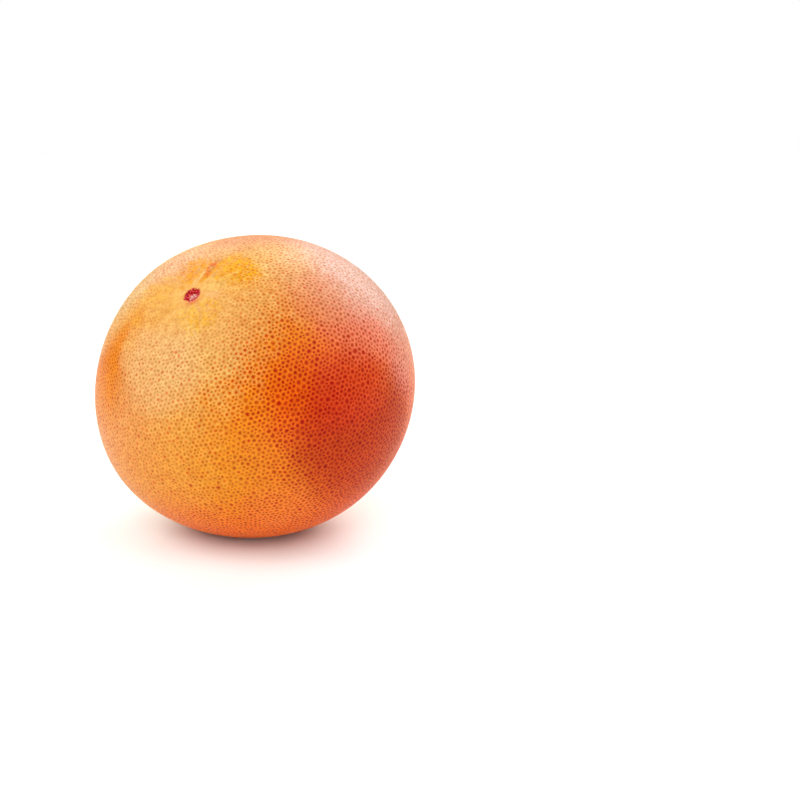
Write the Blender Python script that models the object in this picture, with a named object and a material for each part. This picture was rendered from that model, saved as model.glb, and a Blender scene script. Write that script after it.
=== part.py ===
# A whole grapefruit, lying on a small flat spot with its stem end tipped to the side.
# One solid: the rind's outer surface, with its pores, the stem scar and the blossom end.
# Metres, +Z up. The origin is on the ground, under the middle of the fruit's box.

import math
import random

import bmesh
import bpy
from mathutils import Matrix, Vector

# Half sizes of the fruit in its own frame, where +Z runs out through the stem scar
HALF_NARROW = 0.0537
HALF_BROAD = 0.0564
HALF_HEIGHT = 0.0500

# How the fruit lies: the stem's tilt from upright, the way it points, and the turn about it
STEM_TILT = math.radians(39.5)
STEM_HEADING = math.radians(230.3)
BROAD_TURN = math.radians(12.8)

# Low bulges and flats of a grown fruit, as it lies: heading and elevation in degrees, height
BULGES = (
    (162.0, 50.0, 0.0008),
    (178.0, 8.0, -0.0003),
    (190.0, -33.0, 0.0008),
    (242.0, -73.0, -0.0004),
    (343.0, -48.0, 0.0005),
    (270.0, 5.0, 0.0003),
    (95.0, 20.0, -0.0005),
    (60.0, -30.0, 0.0004),
)
BULGE_SPREAD = math.radians(24.0)

# The flat spot that the fruit rests on
REST_RADIUS = 0.0090
REST_SIDES = 24
REST_MARGIN = 0.0015

# The shallow basin round the stem, and the creases that run out of it
BASIN_DEPTH = 0.0012
BASIN_REACH = 0.0130
CREASE_COUNT = 7
CREASE_DEPTH = 0.0004
CREASE_START = 0.0050
CREASE_FULL = 0.0090
CREASE_END = 0.0220

# The stem scar: a round pit with a sloping wall and a low plug, inside a thin lip
SCAR_RADIUS = 0.0030
SCAR_FLOOR_RADIUS = 0.0013
SCAR_DEPTH = 0.0011
SCAR_PLUG_HEIGHT = 0.0005
SCAR_LIP_RADIUS = 0.0036
SCAR_LIP_WIDTH = 0.0008
SCAR_LIP_HEIGHT = 0.0002
SCAR_RINGS = (
    (0.0007, 8),
    (0.0013, 12),
    (0.0019, 14),
    (0.0025, 16),
    (0.0030, 18),
    (0.0036, 20),
    (0.0048, 20),
    (0.0066, 20),
)

# The blossom end: a slight dimple with a small round scar in it
BLOSSOM_SCAR_RADIUS = 0.0020
BLOSSOM_SCAR_DEPTH = 0.0005
BLOSSOM_DIMPLE_DEPTH = 0.0008
BLOSSOM_DIMPLE_REACH = 0.0090
BLOSSOM_RINGS = ((0.0010, 8), (0.0020, 12), (0.0032, 14), (0.0048, 14))

# The pores, larger than life: small round pits in an even skin
PORE_COUNT = 980
PORE_SIDES = 5
PORE_RADIUS = 0.0016
PORE_DEPTH = 0.00045
PORE_SPREAD = 0.2
PORE_SHAKE = 0.35
PORE_SEED = 11
PORE_SETTLE_ROUNDS = 3
PORE_MARGIN = 0.0025

RIND_COLOUR = (0.89, 0.27, 0.045, 1.0)
RIND_ROUGHNESS = 0.42
SHARP_FROM = math.radians(10.0)

# What a point on the surface belongs to
PORE = 1
RIM = 2
END = 3
REST = 4


def lying_turn():
    """The turn from the fruit's own frame to how it lies."""
    heading = Matrix.Rotation(STEM_HEADING, 3, "Z")
    tilt = Matrix.Rotation(STEM_TILT, 3, "Y")
    return heading @ tilt @ Matrix.Rotation(BROAD_TURN, 3, "Z")


LYING = lying_turn()
STEM_AXIS = LYING @ Vector((0.0, 0.0, 1.0))


def bulge_axes():
    """Each bulge's direction and height."""
    axes = []
    for heading, elevation, height in BULGES:
        turn = Matrix.Rotation(math.radians(heading), 3, "Z")
        turn = turn @ Matrix.Rotation(math.radians(-elevation), 3, "Y")
        axes.append((turn @ Vector((1.0, 0.0, 0.0)), height))
    return axes


BULGE_AXES = bulge_axes()
BULGE_SHARPNESS = 1.0 / (1.0 - math.cos(BULGE_SPREAD))


def smooth_step(low, high, value):
    """0 below low, 1 above high, with an even curve between them."""
    share = min(max((value - low) / (high - low), 0.0), 1.0)
    return share * share * (3.0 - 2.0 * share)


def form_radius(way):
    """The form without its relief: an ellipsoid and its low bulges."""
    own = LYING.transposed() @ way
    stretch = (own.x / HALF_NARROW) ** 2 + (own.y / HALF_BROAD) ** 2 + (own.z / HALF_HEIGHT) ** 2
    radius = 1.0 / math.sqrt(stretch)
    for axis, height in BULGE_AXES:
        radius += height * math.exp((way.dot(axis) - 1.0) * BULGE_SHARPNESS)
    return radius


def reach_from(axis, way):
    """The distance along the surface from one of the fruit's ends."""
    return HALF_HEIGHT * axis.angle(way)


def stem_relief(reach, turn):
    """Basin, creases and scar round the stem, at a distance and an angle about it."""
    relief = -BASIN_DEPTH * math.exp(-((reach / BASIN_REACH) ** 2))
    fold = 0.5 + 0.5 * math.cos(CREASE_COUNT * turn + math.sin(2.0 * turn))
    creased = smooth_step(CREASE_START, CREASE_FULL, reach)
    creased -= smooth_step(CREASE_FULL, CREASE_END, reach)
    relief -= CREASE_DEPTH * creased * fold ** 3
    relief -= SCAR_DEPTH * (1.0 - smooth_step(SCAR_FLOOR_RADIUS, SCAR_RADIUS, reach))
    relief += SCAR_PLUG_HEIGHT * (1.0 - smooth_step(0.0, SCAR_FLOOR_RADIUS, reach))
    relief += SCAR_LIP_HEIGHT * math.exp(-(((reach - SCAR_LIP_RADIUS) / SCAR_LIP_WIDTH) ** 2))
    return relief


def blossom_relief(reach):
    """Dimple and scar at the blossom end."""
    relief = -BLOSSOM_DIMPLE_DEPTH * math.exp(-((reach / BLOSSOM_DIMPLE_REACH) ** 2))
    scar_edge = smooth_step(BLOSSOM_SCAR_RADIUS * 0.5, BLOSSOM_SCAR_RADIUS, reach)
    return relief - BLOSSOM_SCAR_DEPTH * (1.0 - scar_edge)


def surface_radius(way):
    """The form with the relief of its two ends."""
    own = LYING.transposed() @ way
    relief = stem_relief(reach_from(STEM_AXIS, way), math.atan2(own.y, own.x))
    return form_radius(way) + relief + blossom_relief(reach_from(-STEM_AXIS, way))


def lowest_point():
    """The form's lowest point, found by small steps downhill."""
    way = Vector((0.0, 0.0, -1.0))
    step = 0.1
    while step > 1e-4:
        tries = [way]
        for heading in range(8):
            move = Matrix.Rotation(heading * math.tau / 8.0, 3, "Z") @ Vector((step, 0.0, 0.0))
            tries.append((way + move).normalized())
        best = min(tries, key=lambda each: each.z * form_radius(each))
        if best is way:
            step *= 0.5
        way = best
    return way * form_radius(way)


REST_MIDDLE = lowest_point()
REST_MIDDLE.z += REST_RADIUS ** 2 / (HALF_NARROW + HALF_BROAD)


def rings_round(axis, rings):
    """A point on an axis and rings of points round it, as directions."""
    ways = [axis.copy()]
    across = axis.orthogonal().normalized()
    for reach, sides in rings:
        tipped = Matrix.Rotation(reach / HALF_HEIGHT, 3, axis.cross(across)) @ axis
        for side in range(sides):
            ways.append(Matrix.Rotation(side * math.tau / sides, 3, axis) @ tipped)
    return ways


def rest_ways():
    """Directions of the flat spot's middle and of its round edge."""
    points = [REST_MIDDLE.copy()]
    for side in range(REST_SIDES):
        turn = Matrix.Rotation(side * math.tau / REST_SIDES, 3, "Z")
        points.append(REST_MIDDLE + turn @ Vector((REST_RADIUS, 0.0, 0.0)))
    return [point.normalized() for point in points]


def pore_ways():
    """Directions of the pores: an even spiral round the stem, shaken a little."""
    draw = random.Random(PORE_SEED)
    golden_turn = math.pi * (3.0 - math.sqrt(5.0))
    shake = PORE_SHAKE / math.sqrt(PORE_COUNT)
    ways = []
    for number in range(PORE_COUNT):
        height = 1.0 - (2.0 * number + 1.0) / PORE_COUNT
        level = math.sqrt(1.0 - height * height)
        turn = number * golden_turn
        way = Vector((level * math.cos(turn), level * math.sin(turn), height))
        way += shake * Vector([draw.gauss(0.0, 1.0) for _ in range(3)])
        ways.append(LYING @ way.normalized())
    return ways


def clear_of_ends(way):
    """Whether a pore stays off the two scars and the flat spot."""
    if reach_from(STEM_AXIS, way) < SCAR_RINGS[-1][0] + PORE_MARGIN:
        return False
    if reach_from(-STEM_AXIS, way) < BLOSSOM_RINGS[-1][0] + PORE_MARGIN:
        return False
    point = way * form_radius(way)
    low = point.z < 0.0
    return not (low and (point - REST_MIDDLE).length < REST_RADIUS + REST_MARGIN)


def pore_rims(pores):
    """Directions of the points round each pore's edge."""
    draw = random.Random(PORE_SEED)
    rims = []
    for way in pores:
        size = PORE_RADIUS * (1.0 + PORE_SPREAD * draw.uniform(-1.0, 1.0))
        edge = rings_round(way, ((size, PORE_SIDES),))[1:]
        turn = Matrix.Rotation(draw.uniform(0.0, math.tau), 3, way)
        rims += [turn @ point for point in edge]
    return rims


def wrap(points):
    """A closed skin of triangles over points of the unit ball, each with what it belongs to."""
    mesh = bmesh.new()
    kind = mesh.verts.layers.int.new("kind")
    for way, what in points:
        mesh.verts.new(way)[kind] = what
    bmesh.ops.convex_hull(mesh, input=mesh.verts)
    return mesh, kind


def settle(fixed, pores):
    """Each pore moved to the middle of its neighbours, so that none crowd."""
    mesh, kind = wrap(fixed + [(way, PORE) for way in pores])
    settled = []
    for vert in mesh.verts:
        if vert[kind] == PORE:
            near = sum((edge.other_vert(vert).co for edge in vert.link_edges), Vector())
            settled.append(near.normalized())
    mesh.free()
    return settled


def raise_skin(mesh, kind):
    """Moves the points of the unit ball to the fruit's surface."""
    draw = random.Random(PORE_SEED)
    for vert in mesh.verts:
        way = vert.co.normalized()
        if vert[kind] == REST:
            vert.co = way * (REST_MIDDLE.z / way.z)
            continue
        pit = 0.0
        if vert[kind] == PORE:
            pit = PORE_DEPTH * (1.0 + PORE_SPREAD * draw.uniform(-1.0, 1.0))
        vert.co = way * (surface_radius(way) - pit)
        vert.co.z = max(vert.co.z, REST_MIDDLE.z)


def rest_on_ground(mesh):
    """Puts the flat spot on the ground and the middle of the box over the origin."""
    low = [min(vert.co[axis] for vert in mesh.verts) for axis in range(3)]
    high = [max(vert.co[axis] for vert in mesh.verts) for axis in range(3)]
    middle = Vector(((low[0] + high[0]) / 2.0, (low[1] + high[1]) / 2.0, REST_MIDDLE.z))
    bmesh.ops.translate(mesh, verts=mesh.verts, vec=-middle)


def make_rind_material():
    """Orange rind with a waxy gloss."""
    material = bpy.data.materials.new("rind")
    material.use_nodes = True
    shader = material.node_tree.nodes["Principled BSDF"]
    shader.inputs["Base Color"].default_value = RIND_COLOUR
    shader.inputs["Roughness"].default_value = RIND_ROUGHNESS
    shader.inputs["Metallic"].default_value = 0.0
    material.diffuse_color = RIND_COLOUR
    return material


def make_grapefruit():
    """The whole fruit as one closed solid."""
    fixed = [(way, END) for way in rings_round(STEM_AXIS, SCAR_RINGS)]
    fixed += [(way, END) for way in rings_round(-STEM_AXIS, BLOSSOM_RINGS)]
    fixed += [(way, REST) for way in rest_ways()]
    pores = [way for way in pore_ways() if clear_of_ends(way)]
    for _ in range(PORE_SETTLE_ROUNDS):
        pores = settle(fixed, pores)
    skin, kind = wrap(fixed + [(way, PORE) for way in pores] + [(way, RIM) for way in pore_rims(pores)])
    raise_skin(skin, kind)
    rest_on_ground(skin)
    bmesh.ops.recalc_face_normals(skin, faces=skin.faces)
    mesh = bpy.data.meshes.new("grapefruit")
    skin.to_mesh(mesh)
    skin.free()
    mesh.shade_smooth()
    mesh.set_sharp_from_angle(angle=SHARP_FROM)
    mesh.materials.append(make_rind_material())
    fruit = bpy.data.objects.new("grapefruit", mesh)
    bpy.context.scene.collection.objects.link(fruit)
    return fruit


def clear_scene():
    """Removes whatever the scene holds."""
    for thing in list(bpy.data.objects):
        bpy.data.objects.remove(thing, do_unlink=True)


clear_scene()
make_grapefruit()
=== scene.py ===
import bpy
import bmesh
import math
import random
from mathutils import Matrix, Vector, kdtree
from mathutils.geometry import delaunay_2d_cdt


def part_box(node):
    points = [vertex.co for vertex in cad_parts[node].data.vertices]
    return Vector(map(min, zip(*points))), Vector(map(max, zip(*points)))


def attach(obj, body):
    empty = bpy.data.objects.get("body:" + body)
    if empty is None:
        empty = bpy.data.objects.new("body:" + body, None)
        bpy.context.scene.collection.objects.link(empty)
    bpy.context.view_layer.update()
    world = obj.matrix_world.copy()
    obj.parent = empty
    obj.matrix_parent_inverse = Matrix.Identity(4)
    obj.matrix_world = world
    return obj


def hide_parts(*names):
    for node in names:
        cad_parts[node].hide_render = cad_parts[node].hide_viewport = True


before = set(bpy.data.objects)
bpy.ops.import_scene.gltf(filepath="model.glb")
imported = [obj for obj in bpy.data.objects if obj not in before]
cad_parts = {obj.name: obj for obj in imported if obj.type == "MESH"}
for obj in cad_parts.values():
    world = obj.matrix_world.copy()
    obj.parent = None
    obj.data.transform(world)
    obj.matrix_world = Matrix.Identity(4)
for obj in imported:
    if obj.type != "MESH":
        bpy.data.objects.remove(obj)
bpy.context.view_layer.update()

# how the fruit grew and how it lies, in metres and degrees
fruit = {
    "halfNarrow": 0.0537,  # half sizes out from the middle of the fruit
    "halfBroad": 0.0564,
    "halfHeight": 0.0500,  # the one that runs through the stem scar
    "stemTilt": 39.5,
    "stemHeading": 230.3,
    "broadTurn": 12.8,
    "bulges": [  # heading, elevation, height
        (162, 50, 0.0008), (178, 8, -0.0003), (190, -33, 0.0008), (242, -73, -0.0004),
        (343, -48, 0.0005), (270, 5, 0.0003), (95, 20, -0.0005), (60, -30, 0.0004),
    ],
    "bulgeSpread": 24,
    "restRadius": 0.0090,  # the flat spot underneath
    "basinDepth": 0.0012,
    "basinReach": 0.0130,
    "creases": 7,
    "creaseDepth": 0.0004,
    "creaseStart": 0.0050,
    "creaseFull": 0.0090,
    "creaseEnd": 0.0220,
    "creaseSway": 2.0,  # makes the creases uneven round the stem
    "creaseSharpness": 3.0,
    "scarRadius": 0.0030,
    "scarFloor": 0.0013,
    "scarDepth": 0.0011,
    "plugHeight": 0.0005,
    "lipRadius": 0.0036,
    "lipWidth": 0.0008,
    "lipHeight": 0.0002,
    "blossomRadius": 0.0020,
    "blossomDepth": 0.0005,
    "blossomCore": 0.5,  # the share of its radius that is full depth
    "dimpleDepth": 0.0008,
    "dimpleReach": 0.0090,
}

# the skin's cells: one to a pore, and much finer plain ones where the two scars are
skin = {
    "pores": 16900,
    "shake": 0.90,
    "settleRounds": 6,
    "seed": 7,
    "chanceSeed": 5,  # for each pore's own random number
    "largeGap": 0.00204,  # least distance between two large pores
    "scarCells": 1500,
    "scarReach": 0.0075,
    "blossomCells": 420,
    "blossomReach": 0.0042,
    "edgeGap": 0.0009,  # from the fine cells to the first pore
    "poreWidth": 0.62,  # of a large pore's bowl, as a share of its cell
    "poreDepth": 0.00016,
    "smallDepth": 0.55,  # of a small pore, as a share of a large one's
    "bowlPower": 1.6,
    "smoothReach": 0.0070,  # no pores this close to the stem
    "fullReach": 0.0240,  # full pores from here on
    "weldGap": 0.00001,  # points closer than this are joined
    "mapGap": 1e-9,  # the same on the flat map that the cells are stitched on
}

# the sizes that the rind's tree takes as inputs
treeSizes = (
    "halfNarrow", "halfBroad", "halfHeight", "basinDepth", "basinReach", "creases", "creaseDepth",
    "creaseStart", "creaseFull", "creaseEnd", "scarRadius", "scarFloor", "scarDepth", "plugHeight",
    "lipRadius", "lipWidth", "lipHeight", "blossomRadius", "blossomDepth", "dimpleDepth", "dimpleReach",
    "poreWidth", "poreDepth", "bowlPower", "smoothReach", "fullReach",
)
goldenTurn = math.pi * (3 - math.sqrt(5))  # from one point of a spiral to the next


class Wire:
    # a node's socket that sums are written with; plain numbers and tuples stand for set values
    def __init__(self, tree, socket=None):
        self.tree = tree
        self.socket = socket

    def node(self, kind, settings=None, inputs=None):
        made = self.tree.nodes.new(kind)
        for name, value in (settings or {}).items():
            if name == "stops":
                fillRamp(made.color_ramp, value)
            else:
                setattr(made, name, value)
        for name, value in (inputs or {}).items():
            plug(value, pick(made.inputs, name))
        return Wire(self.tree, next((each for each in made.outputs if each.enabled), None))

    def out(self, name):
        return Wire(self.tree, pick(self.socket.node.outputs, name))

    def calc(self, operation, *others):
        if self.socket.type in ("VECTOR", "RGBA"):
            made = self.tree.nodes.new("ShaderNodeVectorMath")
            made.operation = operation
            plug(self, made.inputs[0])
            for value, slot in zip(others, made.inputs[3:] if operation == "SCALE" else made.inputs[1:]):
                plug(value, slot)
            return Wire(self.tree, made.outputs["Value" if operation == "DOT_PRODUCT" else "Vector"])
        made = self.tree.nodes.new("ShaderNodeMath")
        made.operation = operation
        for value, slot in zip((self,) + others, made.inputs):
            plug(value, slot)
        return Wire(self.tree, made.outputs[0])

    def __add__(self, other):
        return self.calc("ADD", other)

    def __radd__(self, other):
        return self.calc("ADD", other)

    def __sub__(self, other):
        return self.calc("SUBTRACT", other)

    def __rsub__(self, other):
        return self.calc("MULTIPLY", -1.0).calc("ADD", other)

    def __mul__(self, other):
        return self.calc("SCALE" if self.socket.type in ("VECTOR", "RGBA") else "MULTIPLY", other)

    def __rmul__(self, other):
        return self * other

    def __truediv__(self, other):
        return self.calc("DIVIDE", other)

    def __pow__(self, other):
        return self.calc("POWER", other)

    def dot(self, other):
        return self.calc("DOT_PRODUCT", tuple(other))

    def step(self, low, high):
        # 0 at low, 1 at high, with an even curve between them
        return self.node("ShaderNodeMapRange", {"interpolation_type": "SMOOTHSTEP"},
                         {"Value": self, "From Min": low, "From Max": high})

    def hump(self, middle, width):
        # 1 at middle, falling off to both sides
        return (((self - middle) / width) ** 2.0 * -1.0).calc("EXPONENT")

    def mix(self, first, second):
        # first where this is 0, second where it is 1
        return self.node("ShaderNodeMix", {"data_type": "RGBA", "clamp_factor": True},
                         {"Factor": self, "A": first, "B": second})

    def tint(self, base, colour):
        # base multiplied by colour where this is 1
        return self.node("ShaderNodeMix", {"data_type": "RGBA", "blend_type": "MULTIPLY"},
                         {"Factor": self, "A": base, "B": colour})

    def noise(self, where, scale, detail, roughness):
        return self.node("ShaderNodeTexNoise", None, {"Vector": where, "Scale": scale,
                                                      "Detail": detail, "Roughness": roughness})


def pick(sockets, name):
    return next(each for each in sockets if each.enabled and each.name == name)


def plug(value, slot):
    if isinstance(value, Wire):
        slot.node.id_data.links.new(value.socket, slot)
    elif slot.type == "RGBA":
        slot.default_value = tuple(value)[:3] + (1.0,)
    else:
        slot.default_value = value


def fillRamp(ramp, stops):
    while len(ramp.elements) < len(stops):
        ramp.elements.new(1.0)
    for element, (place, colour) in zip(ramp.elements, stops):
        element.position = place
        element.color = tuple(colour)[:3] + (1.0,)


def toward(heading, elevation):
    # the unit vector at a heading and an elevation in degrees
    level = math.cos(math.radians(elevation))
    return Vector((level * math.cos(math.radians(heading)), level * math.sin(math.radians(heading)),
                   math.sin(math.radians(elevation))))


lying = (Matrix.Rotation(math.radians(fruit["stemHeading"]), 3, "Z")
         @ Matrix.Rotation(math.radians(fruit["stemTilt"]), 3, "Y")
         @ Matrix.Rotation(math.radians(fruit["broadTurn"]), 3, "Z"))
stemAxis = lying.col[2]
bulges = [(toward(heading, elevation), height) for heading, elevation, height in fruit["bulges"]]
bulgeSharpness = 1 / (1 - math.cos(math.radians(fruit["bulgeSpread"])))


def plainRadius(way):
    # the form without relief, in plain numbers, to find the fruit's lowest point
    own = lying.transposed() @ way
    halves = (fruit["halfNarrow"], fruit["halfBroad"], fruit["halfHeight"])
    radius = 1 / math.sqrt(sum((part / half) ** 2 for part, half in zip(own, halves)))
    return radius + sum(height * math.exp((way.dot(axis) - 1) * bulgeSharpness) for axis, height in bulges)


def findRest():
    # the middle of the flat spot, seen from the middle of the fruit: tries to all sides, in smaller steps
    way = Vector((0, 0, -1))
    step, leastStep, sides = 0.1, 1e-4, 8
    while step > leastStep:
        tries = [way] + [(way + step * toward(360 / sides * each, 0)).normalized() for each in range(sides)]
        best = min(tries, key=lambda each: each.z * plainRadius(each))
        if best is way:
            step *= 0.5
        way = best
    middle = way * plainRadius(way)
    middle.z += fruit["restRadius"] ** 2 / (fruit["halfNarrow"] + fruit["halfBroad"])
    return middle


restMiddle = findRest()


def goldenDisc(axis, reach, count):
    # directions spread evenly over a round patch about an axis
    across = axis.orthogonal().normalized()
    ways = []
    for number in range(count):
        slope = reach / fruit["halfHeight"] * math.sqrt((number + 0.5) / count)
        tipped = Matrix.Rotation(slope, 3, axis.cross(across)) @ axis
        ways.append(Matrix.Rotation(number * goldenTurn, 3, axis) @ tipped)
    return ways


def shakenBall(count):
    # directions spread over the whole ball along a spiral, each a little off its place
    draw = random.Random(skin["seed"])
    shake = skin["shake"] / math.sqrt(count)
    ways = []
    for number in range(count):
        height = 1 - (2 * number + 1) / count
        level = math.sqrt(1 - height * height)
        turn = number * goldenTurn
        way = Vector((level * math.cos(turn), level * math.sin(turn), height))
        ways.append((way + shake * Vector([draw.gauss(0, 1) for _ in range(3)])).normalized())
    return ways


def stitch(ways, pole):
    # triangles between neighbouring directions, worked out on a flat map drawn from the pole
    across = pole.orthogonal().normalized()
    along = pole.cross(across)
    flat = [Vector((way.dot(across), way.dot(along))) / (1 - way.dot(pole)) for way in ways]
    verts, _, faces, origins, _, _ = delaunay_2d_cdt(flat, [], [], 0, skin["mapGap"])
    return [[origins[corner][0] for corner in face] for face in faces]


def makeCells():
    # one point of the unit ball to each cell of the skin, joined by triangles
    fixed = goldenDisc(stemAxis, skin["scarReach"], skin["scarCells"])
    fixed += goldenDisc(-stemAxis, skin["blossomReach"], skin["blossomCells"])
    nearStem = math.cos((skin["scarReach"] + skin["edgeGap"]) / fruit["halfHeight"])
    nearBlossom = math.cos((skin["blossomReach"] + skin["edgeGap"]) / fruit["halfHeight"])
    pores = [way for way in shakenBall(skin["pores"])
             if way.dot(stemAxis) < nearStem and -way.dot(stemAxis) < nearBlossom]
    pole = restMiddle.normalized()
    count = len(fixed)
    for _ in range(skin["settleRounds"]):
        sums = [Vector() for _ in range(count + len(pores))]
        ways = fixed + pores
        for a, b, c in stitch(ways, pole):
            both = ways[a] + ways[b] + ways[c]
            for corner in (a, b, c):
                sums[corner] += both - ways[corner]
        pores = [each.normalized() for each in sums[count:]]
    ways = fixed + pores
    mesh = bmesh.new()
    large = mesh.verts.layers.float.new("large")
    plain = mesh.verts.layers.float.new("plain")
    verts = [mesh.verts.new(way) for way in ways]
    for corners in stitch(ways, pole):
        mesh.faces.new([verts[corner] for corner in corners])
    bmesh.ops.holes_fill(mesh, edges=[edge for edge in mesh.edges if edge.is_boundary], sides=0)
    bmesh.ops.recalc_face_normals(mesh, faces=mesh.faces)
    chosen = chooseLarge(pores)
    for number, vert in enumerate(verts):
        vert[plain] = 1.0 if number < count else 0.0
        vert[large] = 1.0 if number - count in chosen else 0.0
    cells = bpy.data.meshes.new("skinCells")
    mesh.to_mesh(cells)
    mesh.free()
    print("skin cells:", count, "plain,", len(pores), "pores,", len(chosen), "of them large")
    return cells


def chooseLarge(pores):
    # as many pores as fit with the gap between them, taken in a shuffled order
    order = list(range(len(pores)))
    random.Random(skin["seed"]).shuffle(order)
    near = kdtree.KDTree(len(pores))
    for number, way in enumerate(pores):
        near.insert(way, number)
    near.balance()
    gap = skin["largeGap"] / fruit["halfNarrow"]
    chosen = set()
    for number in order:
        if not any(other in chosen for _, other, _ in near.find_range(pores[number], gap)):
            chosen.add(number)
    return chosen


def growthRadius(way, own, stemReach, blossomReach, size):
    # the fruit's surface without its pores: form, basin, creases and the two scars
    parts = [own.out(letter) / size(name)
             for letter, name in (("X", "halfNarrow"), ("Y", "halfBroad"), ("Z", "halfHeight"))]
    radius = (parts[0] ** 2.0 + parts[1] ** 2.0 + parts[2] ** 2.0) ** -0.5
    for axis, height in bulges:
        radius = radius + ((way.dot(axis) - 1.0) * bulgeSharpness).calc("EXPONENT") * height
    turn = own.out("Y").calc("ARCTAN2", own.out("X"))
    sway = (turn * fruit["creaseSway"]).calc("SINE")
    fold = (turn * size("creases") + sway).calc("COSINE") * 0.5 + 0.5
    creased = stemReach.step(size("creaseStart"), size("creaseFull"))
    creased = creased - stemReach.step(size("creaseFull"), size("creaseEnd"))
    radius = radius - stemReach.hump(0.0, size("basinReach")) * size("basinDepth")
    radius = radius - fold ** fruit["creaseSharpness"] * creased * size("creaseDepth")
    radius = radius - (1.0 - stemReach.step(size("scarFloor"), size("scarRadius"))) * size("scarDepth")
    radius = radius + (1.0 - stemReach.step(0.0, size("scarFloor"))) * size("plugHeight")
    radius = radius + stemReach.hump(size("lipRadius"), size("lipWidth")) * size("lipHeight")
    radius = radius - blossomReach.hump(0.0, size("dimpleReach")) * size("dimpleDepth")
    edge = blossomReach.step(size("blossomRadius") * fruit["blossomCore"], size("blossomRadius"))
    return radius - (1.0 - edge) * size("blossomDepth")


def makeRindTree():
    # turns the cells into pores and raises them to the fruit's surface
    tree = bpy.data.node_groups.new("rindGrowth", "GeometryNodeTree")
    tree.interface.new_socket("Geometry", in_out="INPUT", socket_type="NodeSocketGeometry")
    tree.interface.new_socket("rind", in_out="INPUT", socket_type="NodeSocketMaterial")
    for name in treeSizes:
        tree.interface.new_socket(name, in_out="INPUT", socket_type="NodeSocketFloat")
    tree.interface.new_socket("Geometry", in_out="OUTPUT", socket_type="NodeSocketGeometry")
    board = Wire(tree)
    given = board.node("NodeGroupInput")

    def size(name):
        return given.out(name)

    def stored(name):
        return board.node("GeometryNodeInputNamedAttribute", {"data_type": "FLOAT"}, {"Name": name})

    def store(geometry, name, value, domain="POINT", where=True):
        return board.node("GeometryNodeStoreNamedAttribute", {"data_type": "FLOAT", "domain": domain},
                          {"Geometry": geometry, "Selection": where, "Name": name, "Value": value})

    def bowl(geometry, where, width):
        # a ring of faces inside each chosen cell
        raised = board.node("GeometryNodeExtrudeMesh", {"mode": "FACES"},
                            {"Mesh": geometry, "Selection": where, "Offset Scale": 0.0, "Individual": True})
        top = raised.out("Top")
        return board.node("GeometryNodeScaleElements", {"domain": "FACE"},
                          {"Geometry": raised, "Selection": top, "Scale": width}), top

    cells = board.node("GeometryNodeDualMesh", None, {"Mesh": given})
    chance = board.node("FunctionNodeRandomValue", {"data_type": "FLOAT"},
                        {"Min": 0.0, "Max": 1.0, "Seed": skin["chanceSeed"]})
    large = stored("large")
    plain = stored("plain")
    cells = store(cells, "poreSize", chance, "FACE")
    cells = store(cells, "pore", 0.0)
    first, top = bowl(cells, 1.0 - plain, large * size("poreWidth"))
    first = store(first, "pore", 1.0 - large * size("poreWidth"), "POINT", top)
    second, inner = bowl(first, top.calc("MULTIPLY", large), 0.0)
    second = store(second, "pore", 1.0, "POINT", inner)
    merged = board.node("GeometryNodeMergeByDistance", None,
                        {"Geometry": second, "Distance": skin["weldGap"]})

    way = board.node("GeometryNodeInputPosition").calc("NORMALIZE")
    parts = {letter: way.dot(axis) for letter, axis in zip("XYZ", lying.col)}
    turned = board.node("ShaderNodeCombineXYZ", None, parts)
    own = board.node("ShaderNodeSeparateXYZ", None, {"Vector": turned})
    lean = own.out("Z").calc("MINIMUM", 1.0).calc("MAXIMUM", -1.0).calc("ARCCOSINE")
    stemReach = lean * size("halfHeight")
    blossomReach = (math.pi - lean) * size("halfHeight")
    radius = growthRadius(way, own, stemReach, blossomReach, size)
    share = stored("large") * (1 - skin["smallDepth"]) + skin["smallDepth"]
    fullness = stemReach.step(size("smoothReach"), size("fullReach")) * share
    depth = stored("pore") ** size("bowlPower") * size("poreDepth") * fullness
    place = way * (radius - depth)
    split = board.node("ShaderNodeSeparateXYZ", None, {"Vector": place})
    height = split.out("Z").calc("MAXIMUM", restMiddle.z)
    level = board.node("ShaderNodeCombineXYZ", None,
                       {"X": split.out("X"), "Y": split.out("Y"), "Z": height})
    raised = board.node("GeometryNodeSetPosition", None, {"Geometry": merged, "Position": level})
    smooth = board.node("GeometryNodeSetShadeSmooth", None, {"Geometry": raised})
    real = board.node("GeometryNodeRealizeInstances", None, {"Geometry": smooth})
    dressed = board.node("GeometryNodeSetMaterial", None, {"Geometry": real, "Material": given.out("rind")})
    board.node("NodeGroupOutput", None, {"Geometry": dressed})
    return tree


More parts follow.
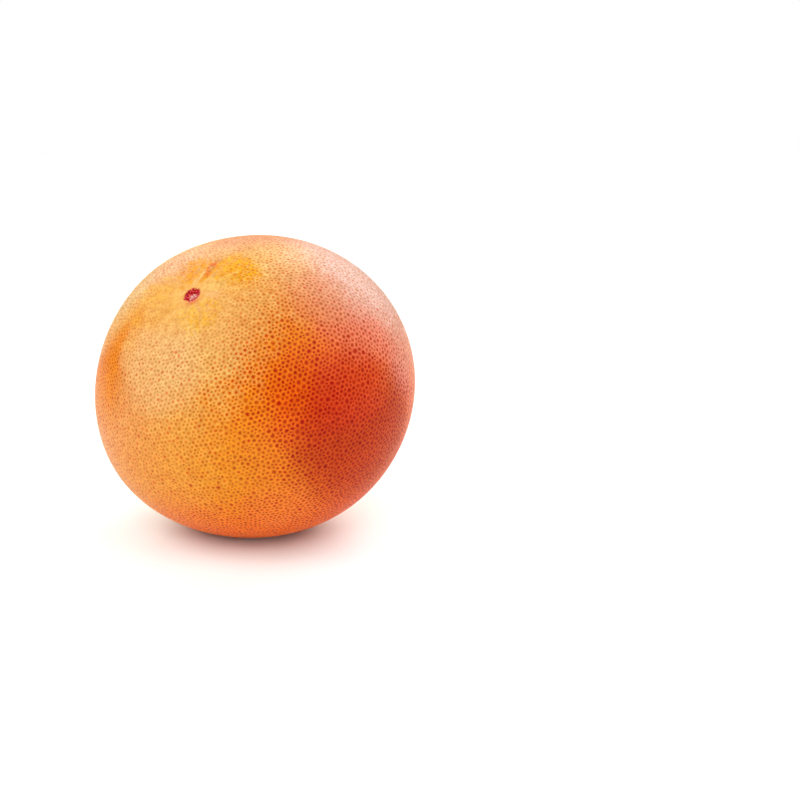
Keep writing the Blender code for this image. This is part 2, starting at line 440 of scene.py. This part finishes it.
def makeRind(material):
    cells = makeCells()
    piece = bpy.data.objects.new("rind", cells)
    bpy.context.scene.collection.objects.link(piece)
    tree = makeRindTree()
    values = {**fruit, **skin}
    growth = piece.modifiers.new("growth", "NODES")
    growth.node_group = tree
    for socket in tree.interface.items_tree:
        if socket.in_out == "INPUT" and socket.name in treeSizes:
            growth[socket.identifier] = float(values[socket.name])
        elif socket.in_out == "INPUT" and socket.name == "rind":
            growth[socket.identifier] = material
    seen = bpy.context.evaluated_depsgraph_get()
    grown = bpy.data.meshes.new_from_object(piece.evaluated_get(seen), preserve_all_data_layers=True,
                                            depsgraph=seen)
    piece.modifiers.remove(growth)
    piece.data = grown
    bpy.data.meshes.remove(cells)
    low = [min(vert.co[each] for vert in grown.vertices) for each in range(3)]
    high = [max(vert.co[each] for vert in grown.vertices) for each in range(3)]
    boxLow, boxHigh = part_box("grapefruit")
    middle = Vector([(boxLow[each] + boxHigh[each] - low[each] - high[each]) / 2 for each in range(2)]
                    + [boxLow[2] - restMiddle.z])
    grown.transform(Matrix.Translation(middle))
    grown.update()
    print("rind:", len(grown.vertices), "points,", sum(len(face.vertices) - 2 for face in grown.polygons),
          "triangles, middle at", [round(each, 5) for each in middle])
    return piece, middle


# colours and finish of the rind; directions are seen from the middle of the fruit, angles are degrees
paint = {
    "blushMiddle": (0.73, -0.63, -0.25),
    "blushStops": [  # angle from the middle of the blush, and the colour there
        (0, (0.82, 0.110, 0.004)), (16, (0.83, 0.105, 0.003)), (28, (0.86, 0.110, 0.002)),
        (37, (0.90, 0.130, 0.002)), (47, (0.93, 0.168, 0.002)), (58, (0.94, 0.235, 0.006)),
        (72, (0.94, 0.465, 0.120)), (90, (0.94, 0.510, 0.142)), (110, (0.92, 0.425, 0.078)),
        # the stops at 72 to 110 degrees: peach ground, made paler by painted highlight
        (140, (0.87, 0.440, 0.090)), (180, (0.86, 0.240, 0.015)),
    ],
    "noises": {  # waves a metre, detail, roughness
        "blotch": (24.0, 2.0, 0.5),  # wide uneven ripening
        "mottle": (220.0, 2.0, 0.6),
        "patchWander": (90.0, 3.0, 0.6),
        "stripWander": (350.0, 3.0, 0.7),
        "fleck": (620.0, 3.0, 0.65),  # grain of the colour, about as fine as the pores
        "crumb": (900.0, 3.0, 0.70),
        "poreEdge": (1500.0, 1.0, 0.5),
        "speck": (1700.0, 2.0, 0.6),
        "grain": (2600.0, 1.0, 0.5),  # finest, in the gloss alone
    },
    "blotchSpread": 9.0,  # how far these two shift the blush
    "mottleSpread": 10.0,
    "poreLead": 10.0,  # the pores ripen ahead of the net between them, by this much
    "poreLeadStep": (0.15, 0.85),
    "poreLeadMiddle": 0.20,
    "patchWander": 0.16,  # how uneven the borders of the patches and the strips are
    "stripWander": 0.12,
    "patches": [  # middle, full reach, outer reach, colour, strength
        ((-0.88, -0.23, -0.41), 3, 55, (0.85, 0.315, 0.150), 0.87),  # low left side
        ((-0.96, -0.26, 0.11), 7, 23, (0.82, 0.21, 0.002), 0.95),  # left side
        ((-0.36, -0.76, -0.54), 2, 55, (0.95, 0.327, 0.018), 0.77),  # low in front
        ((-0.07, -0.36, -0.93), 8, 48, (0.90, 0.145, 0.002), 0.95),  # underneath
        ((0.73, -0.12, 0.67), 15, 48, (0.82, 0.416, 0.315), 0.80),  # pink shoulder at the upper right, partly painted sheen
        ((-0.10, -0.46, 0.88), 2, 14, (0.94, 0.45, 0.050), 0.35),  # gold beside the stem
        ((-0.18, -0.15, 0.97), 8, 23, (0.61, 0.308, 0.026), 0.35),
        ((-0.80, -0.31, 0.51), 2, 12, (0.90, 0.331, 0.002), 0.71),
        ((0.62, -0.76, -0.10), 8, 33, (0.49, 0.055, 0.001), 0.88),  # deep red on the right, with the next three: red blush darkened by painted shade
        ((0.62, -0.66, -0.42), 5, 34, (0.62, 0.080, 0.001), 0.38),
        ((0.60, -0.80, -0.08), 3, 28, (0.62, 0.014, 0.001), 0.32),
        ((0.52, -0.78, -0.35), 3, 47, (0.78, 0.030, 0.002), 0.14),
        ((0.12, -0.83, -0.54), 3, 17, (0.92, 0.200, 0.025), 0.45),
        ((0.62, -0.69, 0.36), 5, 22, (0.94, 0.154, 0.028), 0.59),
        ((0.30, -0.93, 0.19), 3, 22, (0.79, 0.018, 0.002), 0.35),
        ((-0.60, -0.73, 0.33), 5, 22, (0.94, 0.529, 0.271), 0.37),  # pale at the left front: painted highlight over the peach ground
        ((0.36, -0.55, 0.76), 3, 20, (0.90, 0.28, 0.100), 0.40),  # pink, above the red
        ((-0.12, -0.72, 0.68), 3, 18, (0.93, 0.32, 0.060), 0.25),
        ((0.57, -0.80, 0.18), 3, 18, (0.74, 0.045, 0.006), 0.70),  # small red cheek, darkened by painted shade
        ((-0.97, -0.08, 0.20), 4, 25, (0.93, 0.240, 0.002), 0.55),  # round the outline, from the left
        ((-0.90, -0.28, -0.30), 4, 36, (0.90, 0.340, 0.060), 0.50),
        # the next four: painted sheen, pale, along the upper left outline
        ((-0.62, 0.32, 0.71), 12, 33, (0.95, 0.680, 0.370), 0.92),
        ((-0.85, 0.12, 0.51), 6, 27, (0.95, 0.600, 0.260), 0.60),
        ((-0.50, -0.08, 0.86), 3, 16, (0.88, 0.420, 0.220), 0.40),
        ((-0.34, 0.02, 0.94), 6, 28, (0.88, 0.500, 0.290), 0.45),
        ((-0.33, -0.60, 0.73), 2, 7, (0.90, 0.420, 0.200), 0.45),
        ((0.06, 0.16, 0.98), 6, 26, (0.70, 0.250, 0.080), 0.75),
        # painted sheen on top
        ((0.20, -0.30, 0.93), 3, 18, (0.90, 0.580, 0.230), 0.40),
        # painted highlight at the left front
        ((-0.78, -0.49, 0.39), 3, 13, (0.94, 0.520, 0.230), 0.35),
        # painted sheen along the upper right outline
        ((0.68, 0.06, 0.73), 10, 36, (0.80, 0.550, 0.480), 0.60),
        ((0.25, 0.90, 0.35), 5, 60, (0.92, 0.330, 0.045), 0.55),  # warmer cheek at the back
        ((-0.42, 0.66, 0.62), 8, 48, (0.95, 0.540, 0.190), 0.55),
        ((0.98, 0.12, -0.02), 5, 36, (0.92, 0.270, 0.060), 0.60),  # softer borders on the right side
        ((0.87, 0.46, -0.10), 5, 40, (0.94, 0.370, 0.070), 0.60),
    ],
    "gilt": [  # ragged gold patches round the stem: middle, reach, colour, strength
        ((-0.13, -0.38, 0.92), 9, (0.94, 0.38, 0.003), 1.00),
        ((-0.06, -0.46, 0.88), 7, (0.94, 0.38, 0.003), 1.00),
        ((-0.38, -0.29, 0.87), 9, (0.93, 0.35, 0.006), 1.00),
        ((-0.35, -0.65, 0.68), 9, (0.95, 0.44, 0.025), 0.80),
        ((-0.63, -0.26, 0.73), 9, (0.95, 0.46, 0.040), 0.60),
    ],
    "giltCore": 0.2,  # full and outer reach of a gold patch, as shares of its reach
    "giltOuter": 1.3,
    "giltBody": 0.6,  # how much of its border the middle, the crumbs and the wrinkles each shape
    "giltCrumb": 2.4,
    "giltFan": 1.8,
    "giltStep": (0.20, 0.75),
    "giltFade": 0.25,
    "strips": [  # from, to, half width, colour, strength
        ((-0.330, -0.410, 0.850), (-0.295, -0.365, 0.883), 1.4, (0.92, 0.34, 0.020), 0.80),  # orange streak
        ((-0.300, -0.368, 0.880), (-0.248, -0.280, 0.927), 1.5, (0.84, 0.17, 0.020), 0.90),
        ((-0.395, -0.415, 0.820), (-0.318, -0.330, 0.889), 1.5, (0.95, 0.58, 0.230), 0.65),  # pale ridges: painted highlight on the wrinkle crests
        ((-0.210, -0.470, 0.857), (-0.113, -0.440, 0.891), 1.4, (0.95, 0.58, 0.150), 0.60),
        ((-0.335, -0.472, 0.815), (-0.181, -0.505, 0.844), 1.5, (0.95, 0.56, 0.160), 0.55),
        ((-0.500, -0.414, 0.760), (-0.440, -0.440, 0.783), 1.0, (0.95, 0.58, 0.200), 0.70),
        ((-0.825, -0.300, 0.475), (-0.915, -0.395, 0.050), 4.5, (0.90, 0.26, 0.004), 0.75),  # orange band
    ],
    "stripCore": 0.3,  # full width and length of a strip, as shares of the whole
    "stripLength": 0.8,
    "stripStep": (0.36, 0.54),  # where the crumbs break a strip up, and what is left there
    "stripLeast": 0.6,
    "fanTurns": 7.0,  # wrinkles that fan out from the stem: how fine across, and along in waves a metre
    "fanAlong": 90.0,
    "fanNoise": (1.0, 4.0, 0.65),
    "fanMiddle": (-0.22, -0.42, 0.88),
    "fanFull": 10,
    "fanOuter": 34,
    "fanStart": (0.0035, 0.0060),
    "fanHighlightStep": (0.50, 0.72),
    "fanShadeStep": (0.30, 0.50),
    # the fanned wrinkles: painted highlight on their crests, painted shade in their furrows
    "fanHighlight": (1.06, 1.22, 1.50),
    "fanShade": (0.97, 0.84, 0.60),
    "poreSpread": 0.07,  # how much wider the dark of the pores is on red rind
    "poreStart": 0.22,  # how far towards a pore's middle its dark colour starts, and is full
    "poreFull": 0.86,
    "poreWander": 0.20,
    "poreRagged": 0.75,
    "poreFade": (0.0050, 0.0280),  # how far from the stem the pores' colour starts, and is full
    "poreLeast": 0.20,
    "poreDraws": (7.0, 13.0),  # make two more random numbers of each pore's own
    "poreDark": 0.6,  # least dark of a pore, and how much more the others have
    "poreVary": 0.5,
    "poreTintPale": (0.83, 0.44, 0.23),  # what the pores do to pale rind and to red rind
    "poreTintRed": (0.60, 0.08, 0.02),
    "poreOlive": (0.92, 1.15, 1.00),  # each pore leans a little to one of these
    "poreRed": (1.08, 0.80, 0.90),
    "redGreen": (0.08, 0.36),  # the green part of the colours that count as red and as pale rind
    # the paler net between the pores: partly the rind's own colour, partly painted highlight on the ridges
    "netTintPale": (1.03, 1.09, 1.15),  # the paler net between the pores
    "netTintRed": (1.10, 1.45, 2.60),
    "netStep": (0.05, 0.45),
    "netStrength": 0.8,
    "fleckStep": (0.30, 0.70),
    "fleckDark": (0.90, 0.77, 0.64),
    "fleckPale": (1.08, 1.20, 1.25),
    "roughness": 0.40,
    "poreRoughness": 0.08,
    "mottleRoughness": 0.10,
    "specular": 0.10,
    "grainStrength": 0.12,
    "grainDepth": 0.0003,
}

# colours of the two scars, with each ring's outer and inner edge in metres from the scar's middle
scarPaint = {
    "ragged": 0.0026,  # how uneven the rings are
    "skin": ((0.0066, 0.0040), 0.4, (0.93, 0.46, 0.12)),  # edges, strength, colour
    "rimSide": (0.05, -0.84, -0.54),  # the reddish rim shows on this side alone
    "rimStep": (0.01, 0.07),
    "rim": ((0.0035, 0.0009), 0.9, (0.80, 0.10, 0.030)),  # middle and width, strength, colour
    # edges, how much is specks, colour of the ground and of the specks
    "wall": ((0.0032, 0.0028), (0.52, 0.60), (0.50, 0.002, 0.008), (0.92, 0.14, 0.12)),
    "plug": ((0.0016, 0.0012), (0.44, 0.52), (0.66, 0.10, 0.09), (0.86, 0.50, 0.44)),
    "blossom": ((0.0021, 0.0016), 0.8, (0.30, 0.13, 0.05)),
}


def lobe(way, middle, full, outer):
    # 1 within the full reach of a direction, 0 from the outer reach on
    edge, core = math.cos(math.radians(outer)), math.cos(math.radians(full))
    return way.dot(Vector(middle).normalized()).step(edge, core)


def strip(way, start, end, width):
    # 1 along the short arc from start to end
    start, end = Vector(start).normalized(), Vector(end).normalized()
    half = math.sin(math.radians(width))
    off = way.dot(start.cross(end).normalized()).calc("ABSOLUTE")
    reach = start.angle(end) / 2
    middle = (start + end).normalized()
    inside = way.dot(middle).step(math.cos(reach + half), math.cos(reach * paint["stripLength"]))
    return (1.0 - off.step(half * paint["stripCore"], half)) * inside


def wandering(way, noise, reach):
    # directions that stray a little from the true ones, for uneven borders
    wander = (noise.out("Color") - (0.5, 0.5, 0.5)) * reach
    return (way + wander).calc("NORMALIZE")


def paintGround(board, way, pore, noises):
    # by how far a place is from the middle of the blush, with the patches on top
    away = way.dot(Vector(paint["blushMiddle"]).normalized()).calc("ARCCOSINE") * math.degrees(1)
    for name in ("blotch", "mottle"):
        away = away + (noises[name] - 0.5) * (2 * paint[name + "Spread"])
    away = away + (paint["poreLeadMiddle"] - pore.step(*paint["poreLeadStep"])) * paint["poreLead"]
    stops = [(angle / 180, colour) for angle, colour in paint["blushStops"]]
    colour = board.node("ShaderNodeValToRGB", {"stops": stops}, {"Fac": away / 180.0})
    astray = wandering(way, noises["patchWander"], paint["patchWander"])
    for middle, full, outer, patchColour, strength in paint["patches"]:
        colour = (lobe(astray, middle, full, outer) * strength).mix(colour, patchColour)
    return colour


def paintStemSkin(board, colour, way, stemReach, noises):
    # the smoother skin round the stem: gold patches, strips, and fanned wrinkles with painted highlight on
    # their crests and painted shade in their furrows
    fan = board.node("ShaderNodeCombineXYZ", None, {"X": way.dot(lying.col[0]), "Y": way.dot(lying.col[1])})
    fan = fan.calc("NORMALIZE") * paint["fanTurns"]
    fan = fan + board.node("ShaderNodeCombineXYZ", None, {"Z": stemReach * paint["fanAlong"]})
    fan = board.noise(fan, *paint["fanNoise"])
    crumb = noises["crumb"]
    ragged = (crumb - 0.5) * paint["giltCrumb"] + (fan - 0.5) * paint["giltFan"]
    for middle, reach, patchColour, strength in paint["gilt"]:
        near = lobe(way, middle, reach * paint["giltCore"], reach * paint["giltOuter"])
        patch = (near * paint["giltBody"] + ragged).step(*paint["giltStep"])
        patch = patch * near.step(0.0, paint["giltFade"])
        colour = (patch * strength).mix(colour, patchColour)
    astray = wandering(way, noises["stripWander"], paint["stripWander"])
    broken = crumb.step(*paint["stripStep"]) * (1 - paint["stripLeast"]) + paint["stripLeast"]
    for start, end, width, stripColour, strength in paint["strips"]:
        colour = (strip(astray, start, end, width) * broken * strength).mix(colour, stripColour)
    fanned = lobe(way, paint["fanMiddle"], paint["fanFull"], paint["fanOuter"])
    fanned = fanned * stemReach.step(*paint["fanStart"])
    # painted highlight on the wrinkle crests, then painted shade in the furrows
    colour = (fanned * fan.step(*paint["fanHighlightStep"])).tint(colour, paint["fanHighlight"])
    return (fanned * (1.0 - fan.step(*paint["fanShadeStep"]))).tint(colour, paint["fanShade"])


def paintPores(board, colour, stemReach, pore, noises):
    # darker in their middles, each a little different, with a paler net between them that is partly painted
    # highlight on the ridges
    chance = board.node("ShaderNodeAttribute", {"attribute_name": "poreSize"}).out("Fac")
    darkDraw, tintDraw = [(chance * turns).calc("FRACT") for turns in paint["poreDraws"]]
    fleck = noises["fleck"].step(*paint["fleckStep"])
    colour = colour.calc("MULTIPLY", fleck.mix(paint["fleckDark"], paint["fleckPale"]))
    green = board.node("ShaderNodeSeparateColor", None, {"Color": colour}).out("Green")
    pale = green.step(*paint["redGreen"])
    edge = pore + (chance - 0.5) * paint["poreWander"] + (noises["poreEdge"] - 0.5) * paint["poreRagged"]
    edge = edge + (1.0 - pale) * paint["poreSpread"]
    darkness = darkDraw * paint["poreVary"] + paint["poreDark"]
    shown = edge.step(paint["poreStart"], paint["poreFull"]) * darkness
    tint = pale.mix(paint["poreTintRed"], paint["poreTintPale"])
    tint = tint.calc("MULTIPLY", tintDraw.mix(paint["poreOlive"], paint["poreRed"]))
    # paler net: partly painted highlight where the ridges between the pores catch light
    net = (1.0 - pore.step(*paint["netStep"])) * paint["netStrength"]
    colour = net.tint(colour, pale.mix(paint["netTintRed"], paint["netTintPale"]))
    fullness = stemReach.step(*paint["poreFade"]) * (1 - paint["poreLeast"]) + paint["poreLeast"]
    return (shown * fullness).tint(colour, tint), shown


def paintScars(colour, way, stemReach, blossomReach, noises):
    # the stem's: pale plug, crimson wall with pink specks, thin reddish rim; the blossom's: small and brown
    reach = stemReach + (noises["crumb"] - 0.5) * scarPaint["ragged"]
    edges, strength, skinColour = scarPaint["skin"]
    colour = (stemReach.step(*edges) * strength).mix(colour, skinColour)
    below = way.dot(Vector(scarPaint["rimSide"])).step(*scarPaint["rimStep"])
    ring, strength, rimColour = scarPaint["rim"]
    colour = (reach.hump(*ring) * below * strength).mix(colour, rimColour)
    for name in ("wall", "plug"):
        edges, specks, dark, light = scarPaint[name]
        speckled = noises["speck"].step(*specks).mix(dark, light)
        colour = reach.step(*edges).mix(colour, speckled)
    edges, strength, blossomColour = scarPaint["blossom"]
    return (blossomReach.step(*edges) * strength).mix(colour, blossomColour)


def paintRind(material, middle):
    material.use_nodes = True
    tree = material.node_tree
    tree.nodes.clear()
    board = Wire(tree)
    place = board.node("ShaderNodeTexCoord").out("Object")
    way = (place - tuple(middle)).calc("NORMALIZE")
    noises = {name: board.noise(place, *values) for name, values in paint["noises"].items()}
    pore = board.node("ShaderNodeAttribute", {"attribute_name": "pore"}).out("Fac")
    stemReach, blossomReach = [way.dot(axis).calc("MINIMUM", 1.0).calc("ARCCOSINE") * fruit["halfHeight"]
                               for axis in (stemAxis, -stemAxis)]
    colour = paintGround(board, way, pore, noises)
    colour = paintStemSkin(board, colour, way, stemReach, noises)
    colour, shown = paintPores(board, colour, stemReach, pore, noises)
    colour = paintScars(colour, way, stemReach, blossomReach, noises)
    roughness = shown * paint["poreRoughness"] + paint["roughness"]
    roughness = roughness + (noises["mottle"] - 0.5) * paint["mottleRoughness"]
    bump = board.node("ShaderNodeBump", None, {
        "Height": noises["grain"], "Strength": paint["grainStrength"], "Distance": paint["grainDepth"]})
    shader = board.node("ShaderNodeBsdfPrincipled", None, {
        "Base Color": colour, "Roughness": roughness, "Normal": bump,
        "Specular IOR Level": paint["specular"]})
    board.node("ShaderNodeOutputMaterial", None, {"Surface": shader})
    print("rind painted")


rindMaterial = bpy.data.materials.new("rind")
rind, fruitMiddle = makeRind(rindMaterial)
paintRind(rindMaterial, fruitMiddle)
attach(rind, "root")
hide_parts("grapefruit")

# the photograph's view of the fruit
view = {
    "lens": 85.0,
    "sensor": 36.0,
    "distance": 0.655,
    "elevation": 15.0,
    "frame": 800,
    "clip": (0.01, 50),
    "fruitPixel": (254.8, 386.2),  # where the middle of the fruit falls
}


def makeCamera():
    data = bpy.data.cameras.new("camera")
    data.lens = view["lens"]
    data.sensor_width = view["sensor"]
    data.clip_start, data.clip_end = view["clip"]
    camera = bpy.data.objects.new("camera", data)
    bpy.context.scene.collection.objects.link(camera)
    scale = view["sensor"] / view["lens"] / view["frame"]
    side = (view["fruitPixel"][0] - view["frame"] / 2) * scale
    rise = (view["frame"] / 2 - view["fruitPixel"][1]) * scale
    down = math.radians(view["elevation"])
    length = math.sqrt(side ** 2 + rise ** 2 + 1)
    pitch = math.asin(-math.sin(down) * length / math.sqrt(rise ** 2 + 1)) - math.atan(rise)
    yaw = math.atan(side / (math.cos(pitch) - rise * math.sin(pitch)))
    camera.location = fruitMiddle + view["distance"] * Vector((0, -math.cos(down), math.sin(down)))
    camera.rotation_euler = (math.pi / 2 + pitch, 0, yaw)
    bpy.context.scene.camera = camera


makeCamera()
print("camera placed")

# soft studio light: heading and elevation that each round softbox stands at, and its power in watts
studio = {
    "softboxes": {
        "keySoftbox": (180, 35, 8.2),  # left
        "frontSoftbox": (225, 50, 7.0),
        "fillSoftbox": (315, 50, 10.3),  # right
        "rimSoftbox": (45, 35, 15.6),  # back right, for the pale edge
        "backSoftbox": (90, 35, 7.0),
        "sideSoftbox": (135, 35, 6.2),
        "floorSoftbox": (270, 25, 16.3),  # low in front, lights the floor alone and keeps the shadow pale
    },
    "softboxWidth": 1.2,
    "softboxDistance": 1.5,
    "floorWidth": 1.9,
    "floorSides": 96,
    "floorColour": (0.84, 0.92, 0.92, 1),
    "floorRoughness": 0.8,
}


def makeSoftbox(name, heading, elevation, power):
    data = bpy.data.lights.new(name, "AREA")
    data.shape = "DISK"
    data.size = studio["softboxWidth"]
    data.energy = power
    lamp = bpy.data.objects.new(name, data)
    bpy.context.scene.collection.objects.link(lamp)
    way = toward(heading, elevation)
    lamp.location = fruitMiddle + studio["softboxDistance"] * way
    lamp.rotation_euler = (-way).to_track_quat("-Z", "Y").to_euler()
    lamp.visible_camera = False


def makeStudio():
    world = bpy.data.worlds.new("studio")
    world.use_nodes = True
    background = world.node_tree.nodes["Background"]
    background.inputs["Color"].default_value = (1, 1, 1, 1)
    world.cycles_visibility.diffuse = False  # only a white backdrop; the softboxes do the lighting
    world.cycles_visibility.glossy = False
    bpy.context.scene.world = world
    bpy.context.scene.view_settings.view_transform = "Standard"
    mesh = bmesh.new()
    bmesh.ops.create_circle(mesh, cap_ends=True, segments=studio["floorSides"],
                            radius=studio["floorWidth"] / 2)
    data = bpy.data.meshes.new("floor")
    mesh.to_mesh(data)
    mesh.free()
    floor = bpy.data.objects.new("floor", data)
    bpy.context.scene.collection.objects.link(floor)
    paper = bpy.data.materials.new("paleFloor")
    paper.use_nodes = True
    shader = paper.node_tree.nodes["Principled BSDF"]
    shader.inputs["Base Color"].default_value = studio["floorColour"]
    shader.inputs["Roughness"].default_value = studio["floorRoughness"]
    data.materials.append(paper)
    for name, (heading, elevation, power) in studio["softboxes"].items():
        makeSoftbox(name, heading, elevation, power)
    onlyFloor = bpy.data.collections.new("onlyFloor")
    onlyFloor.objects.link(floor)
    bpy.data.objects["floorSoftbox"].light_linking.receiver_collection = onlyFloor


makeStudio()
print("light and floor placed")
